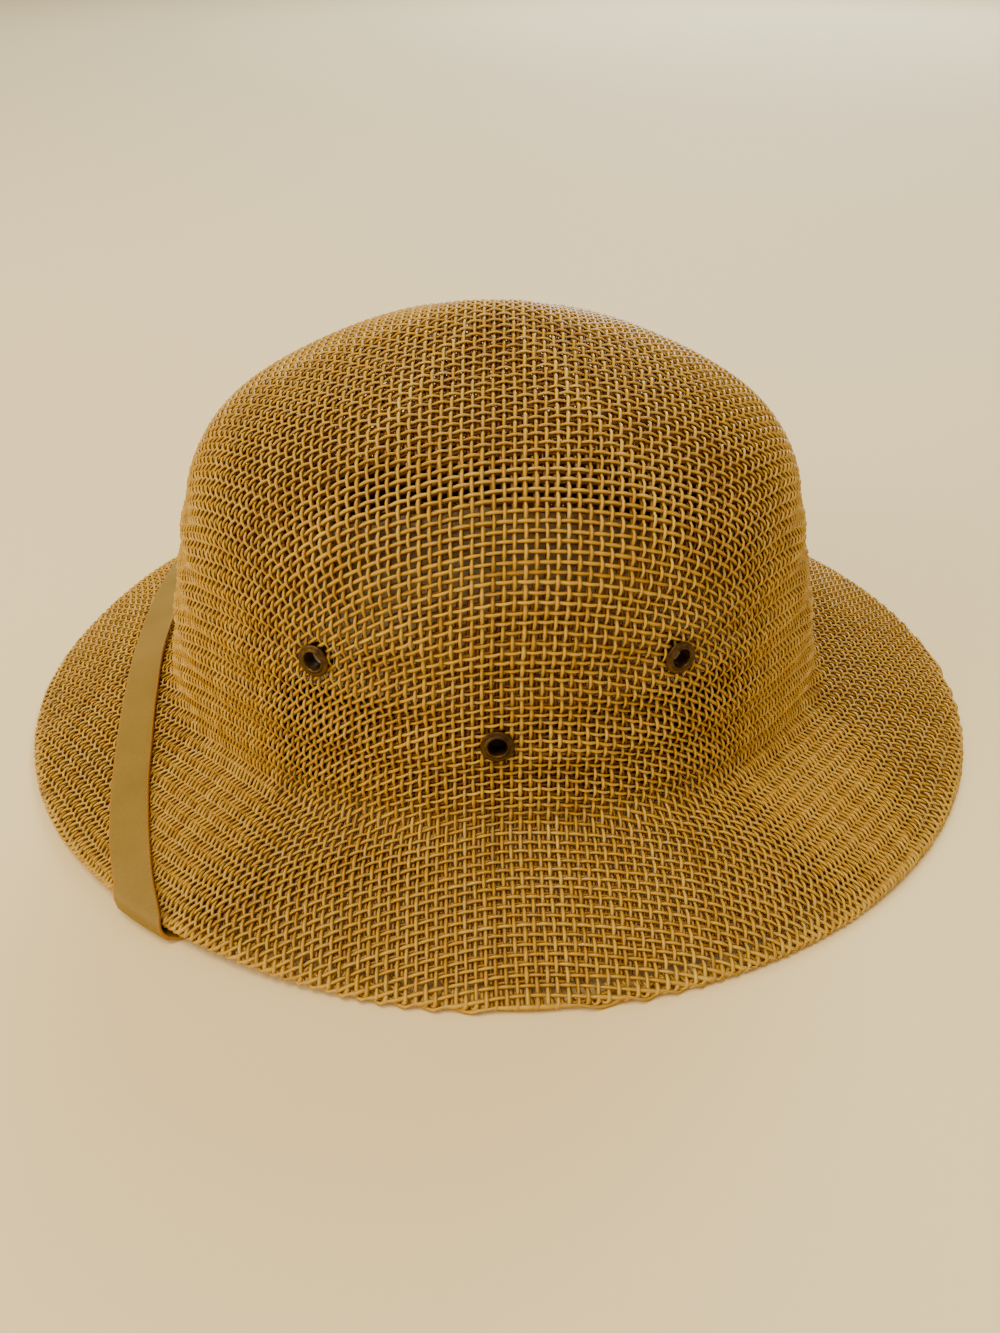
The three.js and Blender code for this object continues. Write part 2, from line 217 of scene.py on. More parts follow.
HEM_PRESSED = 0.8
HEM_FADE = 4
HEM_LEAN = 1.35
HEM_FLATTENED = 0.4
EYELET_CLEAR = 3.5
TUBE_SIDES = 4
rng = np.random.default_rng(7)


def stretch(row):
    """How much wider than on the brim the mesh is, since blocking stretches the cloth over the crown."""
    return 1 + CROWN_STRETCH * (1 - smoothstep(row, *STRETCH_ROWS))


NET_PAST_EDGE = 1
NET_SPARE = 0.1
PROFILE_SAMPLES = 5000


def profile_steps(direction, pitch):
    """Map points that cut one profile line of the wall, from the apex out, into meshes."""
    rows = np.linspace(0, EDGE_ROW + NET_PAST_EDGE + NET_SPARE, PROFILE_SAMPLES)
    points = plain_wall(rows * direction[0], rows * direction[1])
    meshes = np.linalg.norm(np.diff(points, axis=0), axis=1) / (pitch * stretch(rows[1:]))
    count = np.concatenate([[0], np.cumsum(meshes)])
    cuts = np.interp(np.arange(0, count[-1]), count, rows)
    return cuts[:, None] * np.array(direction, float)


FIT_ROUNDS = 7
FIT_STRIDE = 0.15
FIT_MISS = 0.05


def drape_quarter(side_x, side_y):
    """Crossings of the net in one quarter: each lies one pitch from its two neighbours nearer the top."""
    askew = np.radians(ASKEW)
    first_x = profile_steps((side_x * np.cos(askew[0]), side_x * np.sin(askew[0])), PITCH[0])
    first_y = profile_steps((-side_y * np.sin(askew[1]), side_y * np.cos(askew[1])), PITCH[1])
    count_x, count_y = len(first_x), len(first_y)
    quarter = np.full((count_x, count_y, 2), np.nan)
    quarter[:, 0], quarter[0, :] = first_x, first_y
    for total in range(2, count_x + count_y - 1):
        i = np.arange(max(1, total - count_y + 1), min(count_x - 1, total - 1) + 1)
        i = i[np.isfinite(quarter[i - 1, total - i, 0] + quarter[i, total - i - 1, 0])]
        if not len(i):
            continue
        j = total - i
        behind, beside = quarter[i - 1, j], quarter[i, j - 1]
        behind_point, beside_point = plain_wall(*behind.T), plain_wall(*beside.T)
        reach = stretch(np.hypot(*((behind + beside) / 2).T))

        def misfit(place):
            point = plain_wall(*place.T)
            to_behind = np.linalg.norm(point - behind_point, axis=1) - PITCH[0] * reach
            to_beside = np.linalg.norm(point - beside_point, axis=1) - PITCH[1] * reach
            return np.stack([to_behind, to_beside], 1)

        place = behind + beside - quarter[i - 1, j - 1]
        step = 1e-5
        for _ in range(FIT_ROUNDS):
            miss = misfit(place)
            by_p = (misfit(place + [step, 0]) - miss) / step
            by_q = (misfit(place + [0, step]) - miss) / step
            area = by_p[:, 0] * by_q[:, 1] - by_p[:, 1] * by_q[:, 0]
            area = np.where(np.abs(area) < 1e-6, 1e-6, area)
            move_p = (miss[:, 0] * by_q[:, 1] - miss[:, 1] * by_q[:, 0]) / area
            move_q = (miss[:, 1] * by_p[:, 0] - miss[:, 0] * by_p[:, 1]) / area
            move = np.stack([move_p, move_q], 1)
            longest = np.linalg.norm(move, axis=1, keepdims=True)
            place = place - move * np.minimum(1, FIT_STRIDE / np.maximum(longest, 1e-12))
        outside = np.hypot(*place.T) > EDGE_ROW + NET_PAST_EDGE
        lost = outside | (np.abs(misfit(place)).max(1) > FIT_MISS)
        place[lost] = np.nan
        quarter[i, j] = place
    return quarter


def drape():
    """Crossings of a whole net laid over the block, as map places."""
    quarters = {(x, y): drape_quarter(x, y) for x in (-1, 1) for y in (-1, 1)}
    count_x = min(quarter.shape[0] for quarter in quarters.values())
    count_y = min(quarter.shape[1] for quarter in quarters.values())
    net = np.full((2 * count_x - 1, 2 * count_y - 1, 2), np.nan)
    for (x, y), quarter in quarters.items():
        net[count_x - 1::x, count_y - 1::y] = quarter[:count_x, :count_y]
    return net


def slipped_net(net):
    """Crossings of the inner cloth: the same mesh, slipped half a mesh sideways against the outer one apart
    from a ring round the shoulders where they fall in line, and stretched a little more down the sides."""
    place = np.indices(net.shape[:2]).astype(float)
    middle = np.array(net.shape[:2]) // 2
    from_top = np.hypot(PITCH[0] * (place[0] - middle[0]), PITCH[1] * (place[1] - middle[1]))
    in_line = np.exp(-(((from_top - IN_LINE_AT) / IN_LINE_SPREAD) ** 2))
    place[0] += INNER_SLIP * (1 + in_line)
    place[1] += 1 + INNER_STRETCH * (from_top - IN_LINE_AT)
    limits = np.array(net.shape[:2])[:, None, None] - 2
    first = np.clip(np.floor(place).astype(int), 0, limits)
    part_x, part_y = (place - first)[..., None]
    before = net[first[0], first[1]] * (1 - part_x) + net[first[0] + 1, first[1]] * part_x
    after = net[first[0], first[1] + 1] * (1 - part_x) + net[first[0] + 1, first[1] + 1] * part_x
    return before * (1 - part_y) + after * part_y


def past_edge_of_brim(p, q):
    """How far a map place lies beyond the brim's edge, in millimetres along the slope."""
    row = np.hypot(p, q)
    edge_p = EDGE_ROW * np.where(row > 0, p / np.maximum(row, 1e-9), 1)
    edge_q = EDGE_ROW * q / np.maximum(row, 1e-9)
    inner = (EDGE_ROW - 1) / EDGE_ROW
    slope = np.linalg.norm(plain_wall(edge_p, edge_q) - plain_wall(edge_p * inner, edge_q * inner), axis=-1)
    return (row - EDGE_ROW) * slope, slope


def cloth_surface(p, q, depth):
    """Middle of a cloth layer and its outward direction, carried round the hem at the brim's edge."""
    past, slope = past_edge_of_brim(p, q)
    turned = np.maximum(past + HEM_START, 0)
    row = np.hypot(p, q)
    held = np.where(turned > 0, (EDGE_ROW - HEM_START / slope) / row, 1)
    face, normal = straw_wall(p * held, q * held)
    step = 1e-3
    down = unit(plain_wall(p * held * (1 + step), q * held * (1 + step)) - plain_wall(p * held, q * held))
    angle = np.minimum(turned / HEM_ROLL, np.pi)[:, None]
    inward = np.maximum(turned - np.pi * HEM_ROLL, 0)[:, None]
    out = np.cos(angle) * normal + np.sin(angle) * down
    middle = face - (depth + HEM_ROLL * (turned > 0))[:, None] * normal
    return middle + HEM_ROLL * (turned > 0)[:, None] * out - inward * down, out


FINE_STEP = 0.01
RINGS_APART = 0.05


def strand_places(nodes, offsets, reach):
    """Places along one strand, in crossings from the start of its row, that get a ring of the tube."""
    middle = len(nodes) // 2
    gaps = np.flatnonzero(~np.isfinite(nodes[:, 0]))
    low = max(gaps[gaps < middle], default=-1) + 1
    high = min(gaps[gaps > middle], default=len(nodes)) - 1
    index = np.arange(low, high + 1)
    past = past_edge_of_brim(*nodes[index].T)[0]
    fine = np.arange(low, high, FINE_STEP)
    fine_past = np.interp(fine, index, past)
    kept = fine[fine_past < reach]
    hem = fine[::round(HEM_STEP / FINE_STEP)]
    hem = hem[np.abs(np.interp(hem, index, past)) < 2 * HEM_START]
    places = np.concatenate([index + offset for offset in offsets] + [hem, kept[[0, -1]]])
    places = np.sort(places[(places >= kept[0]) & (places <= kept[-1])])
    return places[np.concatenate([[True], np.diff(places) > RINGS_APART])], index


RIDGE_HIGHLIGHT = 0.14
RIDGE_HIGHLIGHT_WIDTH = 2.5
RIDGE_HIGHLIGHT_ROWS = (3.5, 5.5)


def ridge_highlight(p, q):
    """How much lighter the straw is painted along the ridges of the crown: a painted highlight on the
    ridges.
    """
    row = np.hypot(p, q)
    off_ridge = np.arcsin(np.abs(np.sin(PANELS / 2 * np.arctan2(q, p)))) * 2 / PANELS
    distance = off_ridge * wall_column("half_length", row)
    return RIDGE_HIGHLIGHT * np.exp(-((distance / RIDGE_HIGHLIGHT_WIDTH) ** 2)) * (1 - smoothstep(row, *RIDGE_HIGHLIGHT_ROWS))


CREST_FLATNESS = 1.35
WIDTH_SPREAD = 0.05
STRAND_WANDER = 0.1
STRAND_SWELL = 0.05
WANDER_AND_SWELL_WAVES = (5.3, 1.7, 2.9, 1.3)
MIDDLE_TONE = 0.5
STRAND_TONE = 0.065
PAINTED_SHADE_FROM = (18, 36)


def strand_run(nodes, over, cloth, wave):
    """One strand as parts between eyelets: ring centres with their half-width and half-height vectors."""
    places, index = strand_places(nodes, cloth["rings"], cloth["reach"])
    p, q = (np.interp(places, index, nodes[index, axis]) for axis in (0, 1))
    middle, out = cloth_surface(p, q, cloth["depth"])
    past = past_edge_of_brim(p, q)[0]
    pressed = smoothstep(past, -HEM_START - HEM_FADE, -HEM_START)
    across = unit(np.cross(out, np.gradient(middle, axis=0)))
    turns = rng.uniform(0, 2 * np.pi, len(WANDER_AND_SWELL_WAVES))
    waves = np.sin(places[:, None] / WANDER_AND_SWELL_WAVES + turns)
    wander = STRAND_WANDER * (waves[:, 0] + waves[:, 1])
    swell = STRAND_SWELL * (waves[:, 2] + waves[:, 3])
    wander += HEM_LEAN * smoothstep(past, -HEM_START, HEM_START)
    crests = np.clip(CREST_FLATNESS * np.cos(np.pi * places), -1, 1)
    weave = crests * over * wave * (1 - HEM_PRESSED * pressed)
    centre = middle + out * weave[:, None] + across * wander[:, None]
    tangent = unit(np.gradient(centre, axis=0))
    across = unit(np.cross(out, tangent))
    up = np.cross(tangent, across) * cloth["height"] / 2
    width = cloth["width"] * rng.normal(1, WIDTH_SPREAD) * (1 + swell) * (1 + HEM_FLATTENED * pressed)
    across = across * width[:, None] / 2
    # Up in the crown the inner layer's tone is lowered: painted shade.
    tone = rng.normal(MIDDLE_TONE, STRAND_TONE) - cloth["painted_shade"] * smoothstep(centre[:, 2], *PAINTED_SHADE_FROM)
    # Painted highlight along the ridges of the crown.
    tone += ridge_highlight(p, q)
    clear = eyelet_distance(centre) > EYELET_CLEAR
    edges = np.flatnonzero(np.diff(np.concatenate([[0], clear.astype(int), [0]])))
    for first, last in zip(edges[::2], edges[1::2]):
        if last - first > 2:
            part = slice(first, last)
            yield centre[part], across[part], up[part], tone[part]


STRAND_DRIFT = 0.045
DRIFT_WAVES = (23, 5.7)
DRIFT_STARTS = (40, 90)
STRIP_LENGTH = 0.98
STRIP_WIDTH = 0.9
END_TILE = (0.004, 0.4)
END_TILE_STEP = 0.006
END_TILE_UP = 0.1


def length_along(points):
    """Distance along a line of points from its first to each of them."""
    return np.concatenate([[0], np.cumsum(np.linalg.norm(np.diff(points, axis=0), axis=1))])


def strand_mesh(name, runs):
    """All strands of one piece as tubes in one mesh, each laid out as a strip of its own UV map."""
    turn = np.arange(TUBE_SIDES) * 2 * np.pi / TUBE_SIDES
    lengths = [length_along(run[0]) for run in runs]
    longest = max(length[-1] for length in lengths)
    points, faces, uvs, tones = [], [], [], []
    start = 0
    for strip, ((centre, across, up, tone), length) in enumerate(zip(runs, lengths)):
        ring = np.cos(turn)[:, None] * across[:, None] + np.sin(turn)[:, None] * up[:, None]
        points.append((centre[:, None] + ring).reshape(-1, 3))
        count = len(centre)
        side = np.arange(TUBE_SIDES)
        here = start + np.arange(count - 1)[:, None] * TUBE_SIDES
        a, b = here + side, here + (side + 1) % TUBE_SIDES
        faces.append(np.stack([a, b, b + TUBE_SIDES, a + TUBE_SIDES], -1).reshape(-1, 4))
        last = start + (count - 1) * TUBE_SIDES
        faces.append(np.array([start + side[::-1], last + side]))
        u = STRIP_LENGTH * length / longest
        margin = (1 - STRIP_WIDTH) / 2
        low = np.broadcast_to((strip + margin + STRIP_WIDTH * side / TUBE_SIDES) / len(runs), a.shape)
        high = low + STRIP_WIDTH / TUBE_SIDES / len(runs)
        left, right = (np.broadcast_to(end[:, None], a.shape) for end in (u[:-1], u[1:]))
        corners = [(left, low), (left, high), (right, high), (right, low)]
        uvs.append(np.stack([np.stack(corner, -1) for corner in corners], -2).reshape(-1, 2))
        tile = np.array([(0, 0), (0, 1), (1, 1), (1, 0)]) * END_TILE * (1, 1 / len(runs))
        for end in (1, 2):
            uvs.append(tile + (u[-1] + end * END_TILE_STEP, (strip + END_TILE_UP) / len(runs)))
        drift = np.sin(length[:, None] / DRIFT_WAVES + np.multiply(DRIFT_STARTS, tone[0])).sum(1)
        tones.append(np.repeat(tone + STRAND_DRIFT * drift, TUBE_SIDES))
        start += count * TUBE_SIDES
    mesh = bpy.data.meshes.new(name)
    mesh.from_pydata(np.concatenate(points) * MM, [], np.concatenate(faces))
    layer = mesh.uv_layers.new(name="OFBake")
    layer.uv.foreach_set("vector", np.concatenate(uvs).ravel())
    mesh.attributes.new("tone", "FLOAT", "POINT").data.foreach_set("value", np.concatenate(tones))
    mesh.shade_smooth()
    return mesh


def add_piece(name, mesh, material, slot, *nodes):
    """Places a finished mesh as a piece of the hat that stands for CAD nodes."""
    piece = bpy.data.objects.new(name, mesh)
    bpy.context.scene.collection.objects.link(piece)
    mesh.materials.append(material)
    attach(piece, "root")
    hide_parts(*nodes)
    return piece


def srgb(red, green, blue):
    """A colour given as it looks on a screen, 0 to 255, as the linear colour that a shader takes."""
    parts = [value / 255 for value in (red, green, blue)]
    return [c / 12.92 if c <= 0.04045 else ((c + 0.055) / 1.055) ** 2.4 for c in parts] + [1]


def put(tree, kind, sockets, **fields):
    """Adds a node, with its fields set and its inputs set or linked."""
    node = tree.nodes.new(kind)
    for field, value in fields.items():
        setattr(node, field, value)
    for key, value in sockets.items():
        if isinstance(value, bpy.types.NodeSocket):
            tree.links.new(value, node.inputs[key])
        else:
            node.inputs[key].default_value = value
    return node


def ramp(tree, factor, *stops):
    """A colour ramp from (place, colour) stops."""
    node = put(tree, "ShaderNodeValToRGB", {"Fac": factor})
    elements = node.color_ramp.elements
    while len(elements) < len(stops):
        elements.new(1)
    for element, (place, colour) in zip(elements, stops):
        element.position = place
        element.color = colour
    return node.outputs["Color"]


def new_material(name):
    material = bpy.data.materials.new(name)
    material.use_nodes = True
    tree = material.node_tree
    return material, tree, tree.nodes["Principled BSDF"]


STREAK_SCALE = (160, 900, 1)
STREAK_SHARE = 0.5
STREAK_MEAN = 0.49
STRAW_ROUGHNESS = (0.22, 0.44)


def straw_material(name, dark, middle, light):
    """Lacquered straw: each strand has its own tone, with fine streaks along it."""
    material, tree, shader = new_material(name)
    tone = put(tree, "ShaderNodeAttribute", {}, attribute_name="tone").outputs["Fac"]
    strip = put(tree, "ShaderNodeUVMap", {}, uv_map="OFBake").outputs["UV"]
    stretched = put(tree, "ShaderNodeMapping", {"Vector": strip, "Scale": STREAK_SCALE}).outputs["Vector"]
    streaks = put(tree, "ShaderNodeTexNoise", {"Vector": stretched, "Scale": 1, "Detail": 3}).outputs["Fac"]
    mixed = put(tree, "ShaderNodeMath", {0: streaks, 1: STREAK_SHARE, 2: tone}, operation="MULTIPLY_ADD")
    centred = {0: mixed.outputs[0], 1: STREAK_SHARE * STREAK_MEAN}
    shade = put(tree, "ShaderNodeMath", centred, operation="SUBTRACT").outputs[0]
    colour = ramp(tree, shade, (0.1, srgb(*dark)), (0.5, srgb(*middle)), (0.9, srgb(*light)))
    tree.links.new(colour, shader.inputs["Base Color"])
    smooth, rough = STRAW_ROUGHNESS
    gloss = put(tree, "ShaderNodeMapRange", {"Value": streaks, "To Min": smooth, "To Max": rough})
    tree.links.new(gloss.outputs["Result"], shader.inputs["Roughness"])
    bump = put(tree, "ShaderNodeBump", {"Height": streaks, "Strength": 0.25, "Distance": 0.0001})
    tree.links.new(bump.outputs["Normal"], shader.inputs["Normal"])
    return material


STRAW_FINISHES = {
    "outer": straw_material("lacquered_straw", (140, 96, 34), (194, 154, 75), (220, 188, 110)),
    # The inner layer is the same straw as the outer; its darker, redder ramp is painted shade.
    "inner": straw_material("inner_straw_painted_shade", (108, 62, 24), (170, 127, 62), (196, 157, 92)),
}
LAST_STRAND = 2.5


def cloth_strands(net, lengthwise, cloth, chosen):
    """Runs of the strands of one direction whose place in the net, counted from the middle, is chosen."""
    rows = net.swapaxes(0, 1) if lengthwise else net
    wave = cloth["wave"][0 if lengthwise else 1]
    middle = len(rows) // 2
    reached = np.flatnonzero(np.isfinite(rows[:, rows.shape[1] // 2, 0]))
    runs = []
    for row in reached:
        start = rows[row, rows.shape[1] // 2]
        if not chosen(row - middle) or past_edge_of_brim(*start)[0] > min(cloth["reach"], LAST_STRAND):
            continue
        over = (-1) ** row * (1 if lengthwise else -1)
        runs.extend(strand_run(rows[row], over, cloth, wave))
    return runs


STRAND_HALVES = {
    "lengthwise": {"near": lambda row: row < 0, "far": lambda row: row >= 0},
    "crosswise": {"front": lambda row: row < 0, "rear": lambda row: row >= 0},
}
outer_net = drape()
cloth_nets = {"outer": outer_net, "inner": slipped_net(outer_net)}
for layer, cloth in CLOTHS.items():
    for direction, halves in STRAND_HALVES.items():
        for half, chosen in halves.items():
            strand_name = f"{layer}_{direction}_{half}"
            strands = cloth_strands(cloth_nets[layer], direction == "lengthwise", cloth, chosen)
            cloth_part = strand_mesh(strand_name, strands)
            add_piece(strand_name, cloth_part, STRAW_FINISHES[layer], "straw", "straw_body")

# Sweatband. A dark brown leather band inside the foot of the crown, sewn in at its lower edge and standing
# a little away from the straw at its top. Its rims are rolled and its face has a fine grain.
BAND_LOW = 26
BAND_HIGH = 55
BAND_THICKNESS = 1.2
BAND_GAP_LOW = 0.5
BAND_GAP_HIGH = 3
BAND_FLARE = 1.5
BAND_ROLL = 0.4
BAND_ROLL_STEPS = 3
BAND_SEGMENTS = 128
BAND_CUTS = 7


def grain_group():
    """Fine grain shared by leather and metal: a colour between two tones and a bump height."""
    group = bpy.data.node_groups.new("fine_grain", "ShaderNodeTree")
    for socket, kind in (("Dark", "Color"), ("Light", "Color"), ("Scale", "Float"), ("Mottle", "Float")):
        group.interface.new_socket(socket, in_out="INPUT", socket_type=f"NodeSocket{kind}")
    for socket, kind in (("Colour", "Color"), ("Height", "Float")):
        group.interface.new_socket(socket, in_out="OUTPUT", socket_type=f"NodeSocket{kind}")
    given = group.nodes.new("NodeGroupInput").outputs
    place = put(group, "ShaderNodeTexCoord", {}).outputs["Object"]
    fine = put(group, "ShaderNodeTexNoise", {"Vector": place, "Scale": given["Scale"], "Detail": 4})
    broad = put(group, "ShaderNodeTexNoise", {"Vector": place, "Scale": given["Mottle"], "Detail": 2})
    both = put(group, "ShaderNodeMix", {0: 0.45, 2: fine.outputs["Fac"], 3: broad.outputs["Fac"]})
    contrast = {"Value": both.outputs[0], "From Min": 0.35, "From Max": 0.65}
    spread = put(group, "ShaderNodeMapRange", contrast)
    tint = {0: spread.outputs["Result"], 6: given["Dark"], 7: given["Light"]}
    colour = put(group, "ShaderNodeMix", tint, data_type="RGBA")
    result = group.nodes.new("NodeGroupOutput").inputs
    group.links.new(colour.outputs[2], result["Colour"])
    group.links.new(fine.outputs["Fac"], result["Height"])
    return group


FINE_GRAIN = grain_group()


def grained_material(name, dark, light, scale, mottle, roughness, bump, metallic=0):
    """A material whose colour, gloss and bump come from the shared fine grain."""
    material, tree, shader = new_material(name)
    values = {"Dark": srgb(*dark), "Light": srgb(*light), "Scale": scale, "Mottle": mottle}
    grain = tree.nodes.new("ShaderNodeGroup")
    grain.node_tree = FINE_GRAIN
    for socket, value in values.items():
        grain.inputs[socket].default_value = value
    height = grain.outputs["Height"]
    smooth, rough = roughness
    gloss = put(tree, "ShaderNodeMapRange", {"Value": height, "To Min": smooth, "To Max": rough})
    relief = put(tree, "ShaderNodeBump", {"Height": height, "Strength": bump, "Distance": 0.0002})
    tree.links.new(grain.outputs["Colour"], shader.inputs["Base Color"])
    tree.links.new(gloss.outputs["Result"], shader.inputs["Roughness"])
    tree.links.new(relief.outputs["Normal"], shader.inputs["Normal"])
    shader.inputs["Metallic"].default_value = metallic
    return material, tree, shader


def finished_mesh(name, shape):
    """A bmesh in millimetres as a smooth mesh in metres."""
    bmesh.ops.scale(shape, vec=(MM, MM, MM), verts=shape.verts)
    bmesh.ops.recalc_face_normals(shape, faces=shape.faces)
    mesh = bpy.data.meshes.new(name)
    shape.to_mesh(mesh)
    shape.free()
    mesh.shade_smooth()
    return mesh


def sweatband_mesh():
    shape = bmesh.new()
    bmesh.ops.create_cone(shape, segments=BAND_SEGMENTS, radius1=1, radius2=1, depth=1)
    uprights = [edge for edge in shape.edges if abs(edge.verts[0].co.z - edge.verts[1].co.z) > 0.5]
    bmesh.ops.subdivide_edges(shape, edges=uprights, cuts=BAND_CUTS, use_grid_fill=True)
    for vert in shape.verts:
        part = vert.co.z + 0.5
        row = row_at_height(BAND_LOW + part * (BAND_HIGH - BAND_LOW))
        p, q = row * vert.co.x, row * vert.co.y
        gap = BAND_GAP_LOW + part**BAND_FLARE * (BAND_GAP_HIGH - BAND_GAP_LOW)
        depth = WALL_THICKNESS + gap + BAND_THICKNESS / 2
        vert.co = Vector(plain_wall(p, q) - depth * wall_normal(p, q))
    return finished_mesh("sweatband", shape)


BAND_LEATHER = grained_material(
    "band_leather", (34, 18, 9), (58, 33, 18), scale=900, mottle=60, roughness=(0.45, 0.7), bump=0.5
)[0]
band = add_piece("sweatband_leather", sweatband_mesh(), BAND_LEATHER, "sweatband", "sweatband")
band_wall = band.modifiers.new("leather", "SOLIDIFY")
band_wall.thickness = BAND_THICKNESS * MM
band_wall.offset = 0
band_rim = band.modifiers.new("rolled_rim", "BEVEL")
band_rim.width = BAND_ROLL * MM
band_rim.segments = BAND_ROLL_STEPS

# Vent eyelets. Six turned brass eyelets with a dark bronze finish, three on each side of the crown: a
# rolled flange with a step lies on the straw outside, and the barrel is clinched over a washer inside.
EYELET_SECTION = (
    # radius, height above the straw's outer face
    (2.5, -3.4), (2.8, -3.65), (3.6, -3.6), (4.15, -3.2), (4.15, -2.85), (3.1, -2.8), (3.1, 0.3),
    (4.5, 0.32), (4.85, 0.5), (4.75, 0.85), (4.25, 1.05), (3.8, 0.98), (3.55, 1.05), (3.25, 1.42),
    (2.85, 1.4), (2.5, 0.9),
)
EYELET_STEPS = 36


def eyelet_mesh(name, p, q):
    shape = bmesh.new()
    rim = [shape.verts.new((radius, 0, height)) for radius, height in EYELET_SECTION]
    for vert, following in zip(rim, rim[1:] + rim[:1]):
        shape.edges.new((vert, following))
    bmesh.ops.spin(
        shape, geom=shape.verts[:] + shape.edges[:], cent=(0, 0, 0), axis=(0, 0, 1),
        angle=2 * math.pi, steps=EYELET_STEPS, use_merge=True,
    )
    facing = Vector(wall_normal(p, q)).to_track_quat("Z", "Y").to_matrix().to_4x4()
    seat = Matrix.Translation(Vector(plain_wall(p, q)))
    bmesh.ops.transform(shape, matrix=seat @ facing, verts=shape.verts)
    return finished_mesh(name, shape)


BRONZE = grained_material(
    "dark_bronze", (66, 47, 24), (108, 80, 42),
    scale=700, mottle=150, roughness=(0.3, 0.5), bump=0.2, metallic=0.6,
)[0]
for eyelet_name, (eyelet_p, eyelet_q) in eyelet_places.items():
    eyelet_piece = eyelet_mesh(f"{eyelet_name}_turned", eyelet_p, eyelet_q)
    eyelet = add_piece(f"{eyelet_name}_turned", eyelet_piece, BRONZE, "bronze", eyelet_name)
    rounding = eyelet.modifiers.new("rounding", "SUBSURF")
    rounding.levels = 1
    rounding.render_levels = 1

# Chin strap. A flat tan strap of split leather, raw at its cut edges. Its ends are sewn under the brim at
# the sides; it comes round the brim's edge on both sides and lies across the top of the front brim.
STRAP_WIDTH = 12
STRAP_THICKNESS = 1.4
STRAP_GAP = 0.35
STRAP_ROUTE = (
    # place round the oval in degrees, distance in from the brim's edge, face of the brim
    (-98, 39, "under"), (-109, 31.5, "under"), (-118.3, 17, "under"), (-125.2, 0, "under"),
    (-127.8, 0, "top"), (-134, 12, "top"), (-141, 22.9, "top"), (-150.5, 34.2, "top"),
    (-162, 42, "top"), (-174, 44.3, "top"), (-186, 41.8, "top"), (-197, 34.2, "top"),
    (-207, 22.4, "top"), (-219.2, 0, "top"), (-221.8, 0, "under"), (-230, 18, "under"),
    (-242, 33, "under"), (-256, 39, "under"),
)
TURN_RADIUS = 1.95
TURN_SPREAD = 0.25
TURN_LENGTH = 6
TURN_INSET_ALONG = 1.2
TURN_INSET_BELOW = 1.5
OVER_HEM_FADE = 12
UNDER_HEM_EXTRA = 1.5
UNDER_HEM_FADE = 12
SLANT_FULL = 2
SLANT_FADE = 15
PLACE_ROUNDS = 30
ROUTE_STEPS = 60
STRAP_STATIONS = 300
STRAP_SIDES = 28
STRAP_EDGE_ROUND = 0.35
CUT_EDGE_FROM = (0.9, 0.98)


def map_place(angle, inboard):
    """Map place of a point of the brim, from its place round the oval and its distance in from the edge."""
    along, across = np.cos(angle), np.sin(angle)
    edge = plain_wall(EDGE_ROW * along, EDGE_ROW * across)
    within = np.full(angle.shape, ROOT_ROW - 1.0)
    beyond = np.full(angle.shape, float(EDGE_ROW))
    for _ in range(PLACE_ROUNDS):
        middle = (within + beyond) / 2
        far_in = np.linalg.norm(plain_wall(middle * along, middle * across) - edge, axis=-1) > inboard
        within = np.where(far_in, middle, within)
        beyond = np.where(far_in, beyond, middle)
    return middle * along, middle * across


def wrapped(angle, across, rise):
    """Points of a sheet wrapped over the brim. across runs out over the top face to the edge at 0, round
    the hem, and in under the brim from TURN_LENGTH on; rise is the height off the straw."""
    near = 1 - smoothstep(-across, 0, OVER_HEM_FADE)
    top, top_normal = straw_wall(*map_place(angle, np.maximum(-across, 0) + TURN_INSET_ALONG * near))
    inboard = np.maximum(across - TURN_LENGTH, 0)
    below, below_normal = straw_wall(*map_place(angle, inboard + TURN_INSET_ALONG))
    extra = UNDER_HEM_EXTRA * (1 - smoothstep(inboard, 0, UNDER_HEM_FADE))
    edge_p, edge_q = map_place(angle, np.zeros_like(angle))
    edge, normal = straw_wall(edge_p, edge_q)
    step = 1e-3
    down = unit(plain_wall(edge_p * (1 + step), edge_q * (1 + step)) - plain_wall(edge_p, edge_q))
    turn = np.pi * (0.5 - np.clip(across / TURN_LENGTH, 0, 1))
    radius = TURN_RADIUS + rise + TURN_SPREAD * (1 - np.sin(turn)) / 2
    rim = edge - TURN_INSET_BELOW * normal + (radius * np.cos(turn) - TURN_INSET_ALONG)[:, None] * down
    rim = rim + (radius * np.sin(turn))[:, None] * normal
    over = top + (rise + (TURN_RADIUS - TURN_INSET_BELOW) * near)[:, None] * top_normal
    under = below - (WALL_THICKNESS + extra + rise)[:, None] * below_normal
    return np.where((across <= 0)[:, None], over, np.where((across >= TURN_LENGTH)[:, None], under, rim))


def smooth_route(points, count):
    """Evenly spaced points on a centripetal curve through given points."""
    points = np.vstack([2 * points[0] - points[1], points, 2 * points[-1] - points[-2]])
    fine = []
    for a, b, c, d in zip(points, points[1:], points[2:], points[3:]):
        t1 = np.linalg.norm(b - a) ** 0.5
        t2 = t1 + np.linalg.norm(c - b) ** 0.5
        t3 = t2 + np.linalg.norm(d - c) ** 0.5
        for t in np.linspace(t1, t2, ROUTE_STEPS, endpoint=False):
            ab = (a * (t1 - t) + b * t) / t1
            bc = (b * (t2 - t) + c * (t - t1)) / (t2 - t1)
            cd = (c * (t3 - t) + d * (t - t2)) / (t3 - t2)
            abc = (ab * (t2 - t) + bc * t) / t2
            bcd = (bc * (t3 - t) + cd * (t - t1)) / (t3 - t1)
            fine.append((abc * (t2 - t) + bcd * (t - t1)) / (t2 - t1))
    fine = np.array(fine + [points[-2]])
    length = length_along(fine)
    at = np.linspace(0, length[-1], count)
    return np.stack([np.interp(at, length, fine[:, axis]) for axis in (0, 1)], 1)


